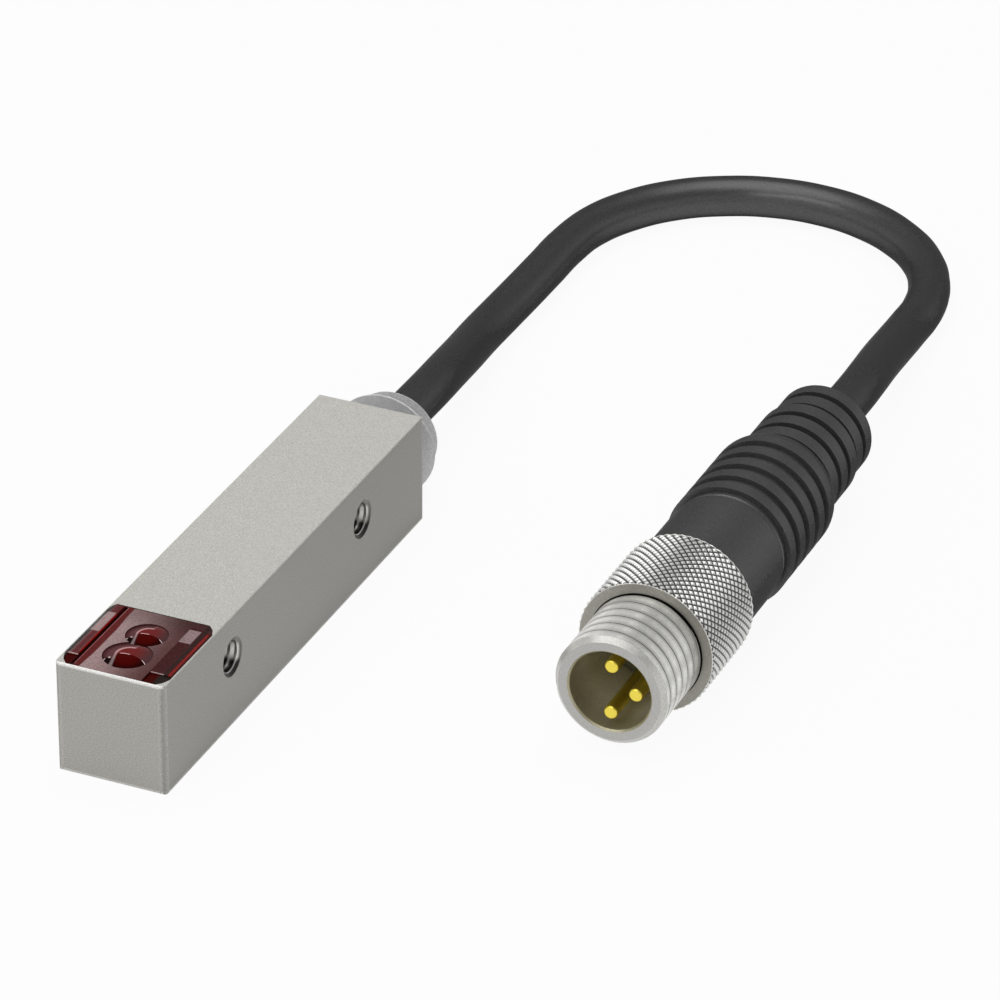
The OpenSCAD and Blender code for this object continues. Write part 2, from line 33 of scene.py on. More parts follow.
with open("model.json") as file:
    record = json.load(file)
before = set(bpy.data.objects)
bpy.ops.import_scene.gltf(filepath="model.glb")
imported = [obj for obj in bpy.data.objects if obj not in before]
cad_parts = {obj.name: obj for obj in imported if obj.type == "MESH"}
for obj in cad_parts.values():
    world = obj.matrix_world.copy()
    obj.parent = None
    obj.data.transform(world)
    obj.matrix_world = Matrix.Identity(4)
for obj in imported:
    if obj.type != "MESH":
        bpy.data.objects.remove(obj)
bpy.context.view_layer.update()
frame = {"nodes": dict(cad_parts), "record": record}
NODES = frame["nodes"]


# Camera

CAMERA_AT = (151.33, -304.4, 201.75)
CAMERA_AIM = (11.445, 14.562, 5.025)
CAMERA_ROLL = 0.44
CAMERA_LENS = 208.0
CAMERA_SENSOR = 36.0
CAMERA_NEAREST = 10.0
CAMERA_FARTHEST = 20000.0


def add_camera():
    data = bpy.data.cameras.new("camera")
    data.lens = CAMERA_LENS
    data.sensor_width = CAMERA_SENSOR
    data.clip_start = CAMERA_NEAREST * MM
    data.clip_end = CAMERA_FARTHEST * MM
    camera = bpy.data.objects.new("camera", data)
    bpy.context.scene.collection.objects.link(camera)
    place = Vector(CAMERA_AT) * MM
    look = Vector(CAMERA_AIM) * MM - place
    roll = Quaternion((0, 0, 1), math.radians(CAMERA_ROLL))
    camera.rotation_mode = "QUATERNION"
    camera.location = place
    camera.rotation_quaternion = look.to_track_quat("-Z", "Y") @ roll
    bpy.context.scene.camera = camera


# Node helpers for materials

# The values between which noise mostly lies
NOISE_LOW = 0.3
NOISE_HIGH = 0.7


def node(tree, kind, inputs=None, **settings):
    """A new node; inputs gives a value or another node's output for each input by name or place."""
    made = tree.nodes.new(kind)
    for name, value in settings.items():
        setattr(made, name, value)
    for name, value in (inputs or {}).items():
        if isinstance(value, bpy.types.NodeSocket):
            tree.links.new(value, made.inputs[name])
        else:
            made.inputs[name].default_value = value
    return made


def math_node(tree, operation, a, b=0.0, c=0.0):
    inputs = {0: a, 1: b, 2: c}
    return node(tree, "ShaderNodeMath", inputs, operation=operation).outputs[0]


def vector_node(tree, operation, inputs):
    return node(tree, "ShaderNodeVectorMath", inputs, operation=operation).outputs


def new_material(name, **sockets):
    """A material, its node tree and its Principled shader with the given sockets set."""
    material = bpy.data.materials.new(name)
    material.use_nodes = True
    tree = material.node_tree
    shader = tree.nodes["Principled BSDF"]
    for socket, value in sockets.items():
        shader.inputs[socket.replace("_", " ")].default_value = value
    return material, tree, shader


def feed(tree, shader, socket, output):
    tree.links.new(output, shader.inputs[socket])


def place_of(tree):
    return tree.nodes.new("ShaderNodeTexCoord").outputs["Object"]


def plan_of(tree, origin):
    """Place in millimetres from an origin, as its X, Y and Z outputs."""
    inputs = {0: place_of(tree), 1: (1 / MM, 1 / MM, 1 / MM), 2: tuple(-v for v in origin)}
    place = vector_node(tree, "MULTIPLY_ADD", inputs)[0]
    parts = node(tree, "ShaderNodeSeparateXYZ", {0: place})
    return [parts.outputs[axis] for axis in "XYZ"]


def distance_from(tree, a, b, at=(0, 0)):
    """Distance of the place (a, b) from a point."""
    place = node(tree, "ShaderNodeCombineXYZ", {0: a, 1: b}).outputs[0]
    return vector_node(tree, "DISTANCE", {0: place, 1: (*at, 0)})["Value"]


def noise(tree, size, detail=2.0, stretch=None):
    """Noise from 0 to 1 with features about size millimetres wide, stretched if asked."""
    place = place_of(tree)
    if stretch:
        place = vector_node(tree, "MULTIPLY", {0: place, 1: stretch})[0]
    inputs = {"Vector": place, "Scale": 1 / (size * MM), "Detail": detail}
    return node(tree, "ShaderNodeTexNoise", inputs).outputs["Fac"]


def map_range(tree, value, start, end, low=0.0, high=1.0, kind="LINEAR"):
    """Maps start to end onto low to high, and stays there outside them."""
    inputs = {"Value": value, "From Min": start, "From Max": end, "To Min": low, "To Max": high}
    return node(tree, "ShaderNodeMapRange", inputs, interpolation_type=kind).outputs["Result"]


def spread(tree, value, low, high):
    """Maps noise onto low to high."""
    return map_range(tree, value, NOISE_LOW, NOISE_HIGH, low, high)


def ramp(tree, value, start, end):
    """0 before start, 1 after end and smooth between them."""
    return map_range(tree, value, start, end, kind="SMOOTHSTEP")


def outside(tree, mask):
    """1 where the mask is 0, and 0 where it is 1."""
    return math_node(tree, "SUBTRACT", 1.0, mask)


def both(tree, *masks):
    """1 where every mask is 1."""
    result = masks[0]
    for mask in masks[1:]:
        result = math_node(tree, "MULTIPLY", result, mask)
    return result


def inside(tree, value, low, high, soft):
    """1 where the value lies between low and high, with edges of the width soft."""
    off = math_node(tree, "ABSOLUTE", math_node(tree, "SUBTRACT", value, (low + high) / 2))
    half = (high - low) / 2
    return outside(tree, ramp(tree, off, half - soft / 2, half + soft / 2))


def within(tree, distance, radius, soft):
    """1 where a distance, which is never negative, is below the radius."""
    return inside(tree, distance, -1, radius, soft)


def tone(red, green, blue):
    """Linear colour of an sRGB tone with these levels from 0 to 255."""
    return tuple(((level / 255 + 0.055) / 1.055) ** 2.4 for level in (red, green, blue))


def mix_values(tree, factor, a, b, kind="FLOAT"):
    inputs = {"Factor": factor, "A": a, "B": b}
    return node(tree, "ShaderNodeMix", inputs, data_type=kind).outputs["Result"]


def layer(tree, mask, under, over):
    """Lays a colour over another one where the mask is 1; each is a tone or a node's output."""
    under, over = (c if isinstance(c, bpy.types.NodeSocket) else (*c, 1) for c in (under, over))
    return mix_values(tree, mask, under, over, "RGBA")


def fade(tree, value, start, end, under, over):
    """Goes over from one colour to another while the value goes from start to end."""
    return layer(tree, ramp(tree, value, start, end), under, over)


def zones(tree, base, boxes, across, along):
    """Colour with boxes laid over it in turn.

    A box is across from and to, along from and to, width of its soft edge, colour.
    """
    colour = base
    for a0, a1, b0, b1, soft, tint in boxes:
        mask = both(tree, inside(tree, across, a0, a1, soft), inside(tree, along, b0, b1, soft))
        colour = layer(tree, mask, colour, tint)
    return colour


def scaled(tree, colour, factor):
    return vector_node(tree, "SCALE", {0: colour, 3: factor})[0]


def bump(tree, shader, height, depth):
    """Bumps of the given depth in millimetres on the shader."""
    made = node(tree, "ShaderNodeBump", {"Height": height, "Distance": depth * MM})
    feed(tree, shader, "Normal", made.outputs["Normal"])


# Finishes

# Share by which the roughness varies with the grain
ROUGH_SHARE = 0.1


def texture(tree, shader, colour, rough, grain, shade, depth):
    """Fine grain on a colour and a roughness: both vary with it, and the surface has its bumps."""
    fine = noise(tree, grain)
    feed(tree, shader, "Base Color", scaled(tree, colour, spread(tree, fine, 1 - shade, 1 + shade)))
    uneven = spread(tree, fine, 1 - ROUGH_SHARE, 1 + ROUGH_SHARE)
    feed(tree, shader, "Roughness", math_node(tree, "MULTIPLY", rough, uneven))
    bump(tree, shader, fine, depth)


def grained(name, colour, grain, depth, rough, shade=0.12, **sockets):
    """Finish in one colour with a fine grain."""
    material, tree, shader = new_material(name, **sockets)
    texture(tree, shader, colour, rough, grain, shade, depth)
    return material


# In the tables below, a strip or box is its places from and to, and then the width of its soft
# edge, and a fade is the places where it starts and ends.

# Origin of the sensor head's sizes: the middle of its front face's lower edge
HEAD_AT = (0, -22.1, 0)

HOUSING_METAL = (0.53, 0.52, 0.485)
# Painted highlight of the bottom edge's bevel: a bright strip low on the sides, by height
FOOT_HIGHLIGHT_STRIP = (0.05, 0.22, 0.05)
FOOT_HIGHLIGHT = (0.76, 0.75, 0.72)
# Painted highlight on the rounded lip before the window, by distance from the front face and by
# height
LIP_ALONG = (-0.2, 0.17, 0.06)
LIP_HEIGHT = (8.02, 8.4, 0.1)
LIP_HIGHLIGHT = (0.9, 0.89, 0.86)
# Painted light and shade at the upright edges, by distance from the housing's middle and from its
# front face: on the front face a highlight line and a shade band, and on the sides a highlight
# beside the front edge and one at the rear edge
HOUSING_EDGE_LIGHT_BOXES = [
    (3.52, 3.64, -0.1, 0.1, 0.08, (0.58, 0.57, 0.54)),
    (3.74, 4.03, -0.1, 0.14, 0.1, (0.44, 0.43, 0.4)),
    (3.95, 4.1, 0.2, 0.42, 0.12, (0.64, 0.63, 0.6)),
    (3.9, 4.1, 39.94, 40.2, 0.05, (0.72, 0.71, 0.68)),
]


def housing_finish():
    """Blasted metal with painted highlights on the lip before the window, low on the sides and at
    its edges, and a painted shade band beside the front edges.
    """
    material, tree, shader = new_material("housing_metal", Specular_IOR_Level=0.12)
    x, y, z = plan_of(tree, HEAD_AT)
    side = math_node(tree, "ABSOLUTE", x)
    colour = layer(tree, inside(tree, z, *FOOT_HIGHLIGHT_STRIP), HOUSING_METAL, FOOT_HIGHLIGHT)
    colour = zones(tree, colour, HOUSING_EDGE_LIGHT_BOXES, side, y)
    # Painted highlight on the lip before the window
    lip = both(tree, inside(tree, y, *LIP_ALONG), inside(tree, z, *LIP_HEIGHT))
    colour = layer(tree, lip, colour, LIP_HIGHLIGHT)
    texture(tree, shader, colour, rough=0.5, grain=0.087, shade=0.22, depth=0.006)
    return material


# Painted shade darkens the end cap upwards, by height, and painted highlights make its two rounded
# rear edges bright strips
CAP_SHADE_FADE = (3.5, 7.8)
CAP_LOW = tone(230, 230, 230)
CAP_HIGH = tone(150, 150, 150)
CAP_HIGHLIGHT_EDGES = ((42.2, 42.55, 0.12), (44.02, 44.3, 0.12))
CAP_EDGE_HIGHLIGHT = tone(205, 205, 205)
TRANSLUCENT = dict(Subsurface_Weight=0.8, Subsurface_Radius=(1, 1, 1), Subsurface_Scale=1.5 * MM)


def cap_finish():
    """Translucent grey moulding with painted shade towards the top and painted highlights on its
    rounded rear edges.
    """
    material, tree, shader = new_material("cap_grey", Specular_IOR_Level=0.1, **TRANSLUCENT)
    _, y, z = plan_of(tree, HEAD_AT)
    colour = fade(tree, z, *CAP_SHADE_FADE, CAP_LOW, CAP_HIGH)
    for edge in CAP_HIGHLIGHT_EDGES:
        colour = layer(tree, inside(tree, y, *edge), colour, CAP_EDGE_HIGHLIGHT)
    texture(tree, shader, colour, rough=0.5, grain=0.12, shade=0.2, depth=0.008)
    return material


# Origin of the screw's sizes: the middle of its front face
PLUG_AT = (28.2, -5.6, 4.9)

# Turned metal: broad axial streaks between two tones, a painted reflection of the surroundings, and
# fine lathe lines that scale them
NICKEL_TONES = (tone(208, 207, 203), tone(252, 251, 246))
NICKEL_REFLECTION_STREAKS = dict(size=1.2, detail=1.0, stretch=(1, 0.04, 1))
LATHE_LINES = dict(size=0.12, detail=1.0, stretch=(0.05, 1, 0.05))
LATHE_RANGE = (0.92, 1.06)
# Painted shade in the knurl: it goes from dark valleys to bright tooth tops, by radius
KNURL_STRIP = (6.25, 13.25, 0.04)
KNURL_SHADE_FADE = (4.783, 4.85)
KNURL_SHADE_TONES = (tone(44, 44, 44), tone(234, 234, 231))
# Painted shade of the bulging turns: the threaded sleeve is darker along the groove, by share of a
# turn away from it
SLEEVE_BOX = (0.36, 6.0, 3.94, 4.1, 0.02)
SLEEVE_SHADE_FADE = (0.0, 0.42)
SLEEVE_SHADE = tone(188, 187, 183)
# Painted light and a painted warm reflection of the pins: the socket brightens inwards, by distance
# behind the front face
SOCKET_BOX = (-0.1, 7.2, 0, 3.03, 0.02)
SOCKET_LIGHT_FADE = (0.3, 3.5)
SOCKET_LIGHT_TONES = (tone(176, 170, 142), tone(254, 251, 238))
# By distance behind the front face and by radius: painted shade in the thread's groove and on the
# front of the knurled ring, a painted shadow in the undercut before it, and the tones of the
# sleeve's chamfer and its front face
SCREW_SHADE_AND_TONE_BOXES = [
    (0.4, 6.0, 3.5, 3.975, 0.02, tone(62, 60, 57)),
    (6.0, 6.17, 3.4, 4.76, 0.02, tone(160, 158, 150)),
    (6.0, 6.2, 3.4, 4.08, 0.03, tone(20, 20, 18)),
    (0.02, 0.36, 3.5, 4.0, 0.02, tone(206, 205, 200)),
    (-0.1, 0.03, 2.95, 3.66, 0.02, tone(186, 185, 182)),
]


def nickel_finish():
    """Nickel plated turned metal with painted reflection streaks, painted shade in the knurl's and
    thread's grooves and on the ring's front, and painted warm light in the socket.
    """
    material, tree, shader = new_material("screw_nickel", Metallic=0.6)
    x, y, z = plan_of(tree, PLUG_AT)
    radius = distance_from(tree, x, z)
    reflection_streaks = spread(tree, noise(tree, **NICKEL_REFLECTION_STREAKS), 0, 1)
    plain = layer(tree, reflection_streaks, *NICKEL_TONES)
    plain = scaled(tree, plain, spread(tree, noise(tree, **LATHE_LINES), *LATHE_RANGE))
    # Painted shade in the knurl's valleys
    knurl = fade(tree, radius, *KNURL_SHADE_FADE, *KNURL_SHADE_TONES)
    along = math_node(tree, "MULTIPLY_ADD", y, 1 / THREAD_PITCH, -THREAD_FIRST / THREAD_PITCH)
    round_turn = math_node(tree, "DIVIDE", math_node(tree, "ARCTAN2", z, x), math.tau)
    turn = math_node(tree, "SUBTRACT", along, round_turn)
    off_groove = math_node(tree, "PINGPONG", turn, 0.5)
    # Painted shade along the thread's groove
    sleeve = fade(tree, off_groove, *SLEEVE_SHADE_FADE, SLEEVE_SHADE, plain)
    colour = zones(tree, plain, [(*SLEEVE_BOX, sleeve)], y, radius)
    colour = layer(tree, inside(tree, y, *KNURL_STRIP), colour, knurl)
    colour = zones(tree, colour, SCREW_SHADE_AND_TONE_BOXES, y, radius)
    # Painted light and painted warm reflection inside the socket
    socket = fade(tree, y, *SOCKET_LIGHT_FADE, *SOCKET_LIGHT_TONES)
    colour = zones(tree, colour, [(*SOCKET_BOX, socket)], y, radius)
    texture(tree, shader, colour, rough=0.36, grain=0.1, shade=0.14, depth=0.002)
    return material


# The window's frosted field, across and along the window: its tones at the left and the right, a
# painted sheen that is brightest at the front left
FIELD_ACROSS = (-2.2, 2.3)
FIELD_ALONG = (5.5, 8.2)
FIELD_SHEEN_FRONT = (tone(156, 132, 131), tone(90, 61, 60))
FIELD_SHEEN_REAR = (tone(128, 106, 105), tone(68, 42, 41))
# Dark strip at the field's left, whose edge bulges to the right beside the lenses
MARGIN_STRIP = (-3.2, -2.26, 0.04)
MARGIN_BULGE = (1.2, 6.4, 2.4)
MARGIN_REACH = 0.12
MARGIN_TONE = tone(94, 36, 35)
# Boxes of the window's top face, by x and by distance from the front face: left strip, lines at
# the groove with painted highlights as a bright red and a pink line, right strip with a painted
# highlight as a bright red line, pads, painted highlights as white lines at the front step, edges
WINDOW_TONE_AND_HIGHLIGHT_BOXES = [
    (-4.2, -3.6, 0, 8.4, 0.3, tone(58, 50, 50)), (-3.6, -3.06, 0, 8.4, 0.3, tone(96, 48, 49)),
    (-3.1, -2.9, 0, 8.4, 0.04, tone(84, 30, 28)), (-3.06, -2.9, 1.8, 7.0, 0.03, tone(150, 24, 18)),
    (-2.73, -2.64, 0.4, 8.2, 0.04, tone(142, 92, 93)), (2.22, 3.12, 0, 7.6, 0.08, tone(68, 34, 34)),
    (3.12, 3.52, 0, 8.4, 0.1, tone(54, 36, 34)), (3.5, 3.74, 0.8, 7.3, 0.1, tone(92, 30, 28)),
    (3.58, 3.68, 0.9, 7.1, 0.06, tone(142, 44, 42)), (3.74, 4.2, 0, 8.4, 0.06, tone(76, 38, 37)),
    (-4.2, -3.12, 4.65, 7.2, 0.08, tone(160, 136, 135)),
    (-4.2, -3.72, 4.65, 7.2, 0.2, tone(140, 138, 138)),
    (2.23, 3.08, 5.62, 7.3, 0.08, tone(143, 121, 122)), (3.0, 4.2, -1, 1.2, 0.25, tone(44, 35, 32)),
    # Painted highlights: white lines along the front step
    (-3.86, -2.96, 1.4, 1.54, 0.03, tone(222, 190, 188)),
    (2.3, 3.25, 1.4, 1.54, 0.03, tone(200, 172, 170)),
    (-4.2, 4.2, 8.2, 8.5, 0.06, tone(60, 42, 42)),
]
# The same below the top face: the groove's inside with a painted shadow on its floor, and the
# lowered blocks at the front, dark at their outer ends
LOW_TONE = tone(60, 4, 2)
LOW_TONE_AND_SHADOW_BOXES = [
    (-4.2, -3.75, -1, 1.6, 0.2, tone(26, 12, 12)), (-3.05, -2.6, -1, 8.4, 0.1, tone(44, 12, 11)),
    (2.95, 4.2, -1, 1.6, 0.25, tone(42, 34, 31)),
]
# Where these are: in the groove, at the front but for its middle, and between two heights
GROOVE_STRIP = (-3.02, -2.68, 0.01)
BLOCK_ALONG = (-1, 1.503, 0.002)
BLOCK_MIDDLE = (-2.2, 2.2, 0.02)
LOW_HEIGHT = (7, 8.135, 0.01)
# Painted highlight on the upper part of the groove's left wall, by x and by height
WALL_STRIP = (-3.02, -2.992, 0.004)
WALL_HEIGHT = (8.09, 8.3, 0.02)
WALL_HIGHLIGHT = tone(150, 26, 20)
# Wall of the lens pockets: how far it reaches past the pocket's radius, and its soft edge
POCKET_WALL = 0.004
POCKET_SOFT = 0.006
POCKET_TONE = tone(88, 56, 56)
# Where the window is frosted, and the roughness beside it and on it
FROST_STRIP = (-2.3, 2.25, 0.1)
FROST_ROUGH = (0.22, 0.5)


def window_finish():
    """Red moulding: frosted field with a painted sheen, pads, polished strips with painted
    highlight lines, a painted shadow in the groove, and dark front blocks.
    """
    material, tree, shader = new_material("window_red", Specular_IOR_Level=0.02)
    x, y, z = plan_of(tree, HEAD_AT)
    field = fade(tree, y, *FIELD_ALONG, fade(tree, x, *FIELD_ACROSS, *FIELD_SHEEN_FRONT),
                 fade(tree, x, *FIELD_ACROSS, *FIELD_SHEEN_REAR))
    bulge = math_node(tree, "MULTIPLY", inside(tree, y, *MARGIN_BULGE), -MARGIN_REACH)
    bent_x = math_node(tree, "ADD", x, bulge)
    field = layer(tree, inside(tree, bent_x, *MARGIN_STRIP), field, MARGIN_TONE)
    top = zones(tree, field, WINDOW_TONE_AND_HIGHLIGHT_BOXES, x, y)
    low = zones(tree, LOW_TONE, LOW_TONE_AND_SHADOW_BOXES, x, y)
    wall_highlight = both(tree, inside(tree, x, *WALL_STRIP), inside(tree, z, *WALL_HEIGHT))
    low = layer(tree, wall_highlight, low, WALL_HIGHLIGHT)
    front = inside(tree, y, *BLOCK_ALONG)
    middle = both(tree, front, inside(tree, x, *BLOCK_MIDDLE))
    blocks = math_node(tree, "SUBTRACT", front, middle)
    sunk = math_node(tree, "MAXIMUM", inside(tree, x, *GROOVE_STRIP), blocks)
    colour = layer(tree, both(tree, sunk, inside(tree, z, *LOW_HEIGHT)), top, low)
    for lens in LENSES:
        off = distance_from(tree, x, y, (0, lens["at"]))
        pocket = within(tree, off, lens["radius"] + POCKET_WALL, POCKET_SOFT)
        colour = layer(tree, pocket, colour, POCKET_TONE)
    rough = mix_values(tree, inside(tree, x, *FROST_STRIP), *FROST_ROUGH)
    texture(tree, shader, colour, rough=rough, grain=0.12, shade=0.22, depth=0.003)
    return material


# The two lenses: distance from the front face and radius of the pocket that each one fills
LENSES = [
    dict(name="lens_front", at=2.7, radius=1.67),
    dict(name="lens_rear", at=5.5, radius=1.44),
]
LENS_GAP = 0.01
LENS_FOOT_Z = 7.95
LENS_RIM_Z = 8.1
LENS_TOP_Z = 8.19
LENS_SEGMENTS = 64
LENS_RINGS = 12
LENS_SHARP = 40

# A lens is painted in shares of its radius, u to the right and v to the rear: a milky field, a
# deep red disc over its front that is painted light seen through the lens, a bright band at their
# left that is a painted reflection, and a flank outside the band that paints the pocket's wall as
# seen in the lens, with painted shade at its rim and front.
# The deep disc's place, radius and soft edge, and the place from which its painted light darkens
# outwards
DEEP_AT = (0.02, -1.1)
DEEP_RADIUS = 1.2
DEEP_SOFT = 0.04
DEEP_BRIGHTEST = (0.05, -0.2)
# Behind the middle the band and the flank begin left of a disc, given by its place and radius,
# and before it left of a line, given by its u where v is 0 and by its lean
REFLECTION_BAND_DISC = (0.047, 0.104, 0.51)
REFLECTION_BAND_LINE = (-0.46, -0.255)
FLANK_DISC = (0.03, 0.12, 0.6)
FLANK_LINE = (-0.535, -0.155)
DISC_SOFT = 0.05
LINE_SOFT = 0.05
# Strips by u where the discs have a left side, and where the flank shows at all
DISC_STRIP = (-1.2, 0.03, 0.12)
FLANK_STRIP = (-1.2, 0.9, 0.6)
LENS_FADES = dict(
    rim=(0.7, 1.0), field_right=(0.05, 0.95), field_rear=(0.55, 1.0), deep=(0.25, 0.85),
    disc_to_line=(-0.02, -0.12), band=(-0.6, 0.3), flank_front=(-0.38, -0.5),
    flank_right=(-0.3, 0.3),
)
LENS_TONES = dict(
    field=tone(110, 38, 38), field_right=tone(76, 52, 54), field_rear=tone(104, 66, 67),
    deep=tone(70, 5, 0), deep_edge=tone(24, 2, 1),
    reflection_band_front=tone(122, 108, 108), reflection_band_rear=tone(186, 140, 142),
    flank=tone(94, 60, 61), flank_rim=tone(72, 34, 35), flank_front=tone(20, 8, 7),
    flank_right=tone(104, 68, 69), flank_right_rim=tone(84, 52, 53),
)
# Painted highlights on a lens: strips by u, by v, by distance from the deep disc's place and from
# the dot's place, and the tone where they cross
LENS_GLINT_DOT = (-0.6, -0.37)
LENS_HIGHLIGHTS = [
    (dict(deep=(1.19, 1.225, 0.02), u=(-0.35, 0.05, 0.06)), tone(238, 192, 190)),
    (dict(deep=(1.195, 1.225, 0.02), u=(0.66, 0.99, 0.04)), tone(222, 204, 204)),
    (dict(dot=(-1, 0.045, 0.03)), tone(206, 190, 190)),
    (dict(u=(-0.76, -0.71, 0.03), v=(-0.7, -0.5, 0.04)), tone(190, 170, 168)),
]


def lens_finish(name, at, radius):
    """Deep red lens whose clear look is painted: milky behind, deep red before with painted light
    through it, a painted reflection as a band, a flank that paints the pocket's wall with painted
    shade, and painted highlights.
    """
    material, tree, shader = new_material(name + "_red", Specular_IOR_Level=0.01)
    x, y, _ = plan_of(tree, (HEAD_AT[0], HEAD_AT[1] + at, 0))
    u = math_node(tree, "DIVIDE", x, radius)
    v = math_node(tree, "DIVIDE", y, radius)
    off_deep = distance_from(tree, u, v, DEEP_AT)
    rim = ramp(tree, distance_from(tree, u, v), *LENS_FADES["rim"])
    in_front = ramp(tree, v, *LENS_FADES["disc_to_line"])

    def faded(value, key, under, over):
        """Goes over from one colour to another, each the name of a tone or a node's output."""
        under, over = (LENS_TONES[c] if isinstance(c, str) else c for c in (under, over))
        return fade(tree, value, *LENS_FADES[key], under, over)

    def right_of(disc, line):
        """1 within a disc or to its right, and before the middle 1 to the right of a line."""
        across, along, size = disc
        off = distance_from(tree, u, v, (across, along))
        beyond = outside(tree, within(tree, off, size, DISC_SOFT))
        behind = outside(tree, both(tree, beyond, inside(tree, u, *DISC_STRIP)))
        at_middle, lean = line
        past = math_node(tree, "SUBTRACT", u, math_node(tree, "MULTIPLY_ADD", v, lean, at_middle))
        return mix_values(tree, in_front, behind, ramp(tree, past, -LINE_SOFT / 2, LINE_SOFT / 2))

    field = faded(u, "field_right", "field", "field_right")
    field = faded(v, "field_rear", field, "field_rear")
    deep = faded(distance_from(tree, u, v, DEEP_BRIGHTEST), "deep", "deep", "deep_edge")
    colour = layer(tree, within(tree, off_deep, DEEP_RADIUS, DEEP_SOFT), field, deep)
    band = faded(v, "band", "reflection_band_front", "reflection_band_rear")
    colour = layer(tree, right_of(REFLECTION_BAND_DISC, REFLECTION_BAND_LINE), band, colour)
    flank = layer(tree, rim, LENS_TONES["flank"], LENS_TONES["flank_rim"])
    flank = faded(v, "flank_front", flank, "flank_front")
    right = layer(tree, rim, LENS_TONES["flank_right"], LENS_TONES["flank_right_rim"])
    flank = faded(u, "flank_right", flank, right)
    beyond = outside(tree, right_of(FLANK_DISC, FLANK_LINE))
    colour = layer(tree, both(tree, beyond, inside(tree, u, *FLANK_STRIP)), colour, flank)
    measures = dict(u=u, v=v, deep=off_deep, dot=distance_from(tree, u, v, LENS_GLINT_DOT))
    for strips, tint in LENS_HIGHLIGHTS:
        masks = [inside(tree, measures[key], *strip) for key, strip in strips.items()]
        colour = layer(tree, both(tree, *masks), colour, tint)
    texture(tree, shader, colour, rough=0.2, grain=0.12, shade=0.1, depth=0.001)
    return material


# Colour of the thread in the side holes, by distance from the housing's middle and by height
# over the holes' middle: a painted highlight inside, painted shade on the first flank and above,
# and painted shade low in the grooves
HOLE_HIGHLIGHT = tone(226, 224, 218)
HOLE_FLANK_FADE = (3.78, 3.9)
HOLE_FLANK_SHADE = tone(112, 111, 106)
HOLE_UPPER_FADE = (0.2, 0.7)
HOLE_UPPER_SHADE = tone(122, 120, 114)
HOLE_LOWER_FADE = (-0.6, -0.9)
HOLE_GROOVE_REACH = 0.07
HOLE_GROOVE_SHADE = tone(44, 42, 40)


def thread_finish():
    """Cut metal with a painted highlight, painted shade on the first flank and above, and painted
    shade low in the grooves.
    """
    material, tree, shader = new_material("thread_metal", Metallic=0.6)
    x, y, z = plan_of(tree, (0, 0, HOLE_HEIGHT))
    side = math_node(tree, "ABSOLUTE", x)
    off = [distance_from(tree, y, z, (place, 0)) for place in HOLE_PLACES.values()]
    radius = math_node(tree, "MINIMUM", *off)
    groove = ramp(tree, radius, HOLE_CREST_RADIUS, HOLE_CREST_RADIUS + HOLE_GROOVE_REACH)
    colour = fade(tree, side, *HOLE_FLANK_FADE, HOLE_HIGHLIGHT, HOLE_FLANK_SHADE)
    colour = fade(tree, z, *HOLE_UPPER_FADE, colour, HOLE_UPPER_SHADE)
    low_groove_shade = both(tree, groove, ramp(tree, z, *HOLE_LOWER_FADE))
    colour = layer(tree, low_groove_shade, colour, HOLE_GROOVE_SHADE)
    texture(tree, shader, colour, rough=0.32, grain=0.1, shade=0.08, depth=0.002)
    return material


# Gloss of the black mouldings: even over the surface, without a bright edge where it turns away
DARK_GLOSS = dict(Metallic=0.7, Specular_Tint=(0, 0, 0, 1), Specular_IOR_Level=0.04)

# Finishes in one colour, for the slots of outer pieces, the contact carrier and inner pieces
PLAIN_FINISHES = {
    "pin_gold": dict(
        colour=(0.86, 0.7, 0.1), grain=0.05, depth=0.001, rough=0.34, shade=0.05, Metallic=1.0),
    "grip_black": dict(
        colour=(0.125, 0.125, 0.126), grain=0.12, depth=0.005, rough=0.4, shade=0.14, **DARK_GLOSS),
    "cable_jacket": dict(
        colour=(0.1, 0.1, 0.101), grain=0.1, depth=0.003, rough=0.36, shade=0.2, **DARK_GLOSS),
    # The contact carrier, a black part, is painted the socket's olive: painted warm light and
    # reflection
    "contact_carrier": dict(colour=(0.18, 0.17, 0.12), grain=0.08, depth=0.004, rough=0.5),
    "carrier_black": dict(colour=(0.03, 0.03, 0.032), grain=0.08, depth=0.004, rough=0.6),
    "emitter_body": dict(colour=(0.75, 0.2, 0.16), grain=0.2, depth=0.001, rough=0.2),
    "receiver_body": dict(colour=(0.12, 0.11, 0.14), grain=0.2, depth=0.001, rough=0.2),
    "board_green": dict(colour=(0.03, 0.2, 0.1), grain=0.15, depth=0.003, rough=0.4),
    "chip_black": dict(colour=(0.03, 0.03, 0.03), grain=0.06, depth=0.004, rough=0.6),
    "chip_parts": dict(colour=(0.5, 0.42, 0.3), grain=0.06, depth=0.004, rough=0.5),
    "light_green": dict(colour=(0.3, 0.75, 0.35), grain=0.2, depth=0.001, rough=0.2),
    "light_yellow": dict(colour=(0.9, 0.7, 0.15), grain=0.2, depth=0.001, rough=0.2),
    "wire_brown": dict(colour=(0.2, 0.09, 0.04), grain=0.15, depth=0.002, rough=0.35),
    "wire_blue": dict(colour=(0.03, 0.12, 0.45), grain=0.15, depth=0.002, rough=0.35),
    "wire_black": dict(colour=(0.02, 0.02, 0.02), grain=0.15, depth=0.002, rough=0.35),
}


def make_finishes():
    """One material for each of the record's slots, and the contact carrier's own."""
    finishes = {name: grained(name, **facts) for name, facts in PLAIN_FINISHES.items()}
    finishes["housing_metal"] = housing_finish()
    finishes["screw_nickel"] = nickel_finish()
    finishes["cap_grey"] = cap_finish()
    finishes["window_red"] = window_finish()
    return finishes


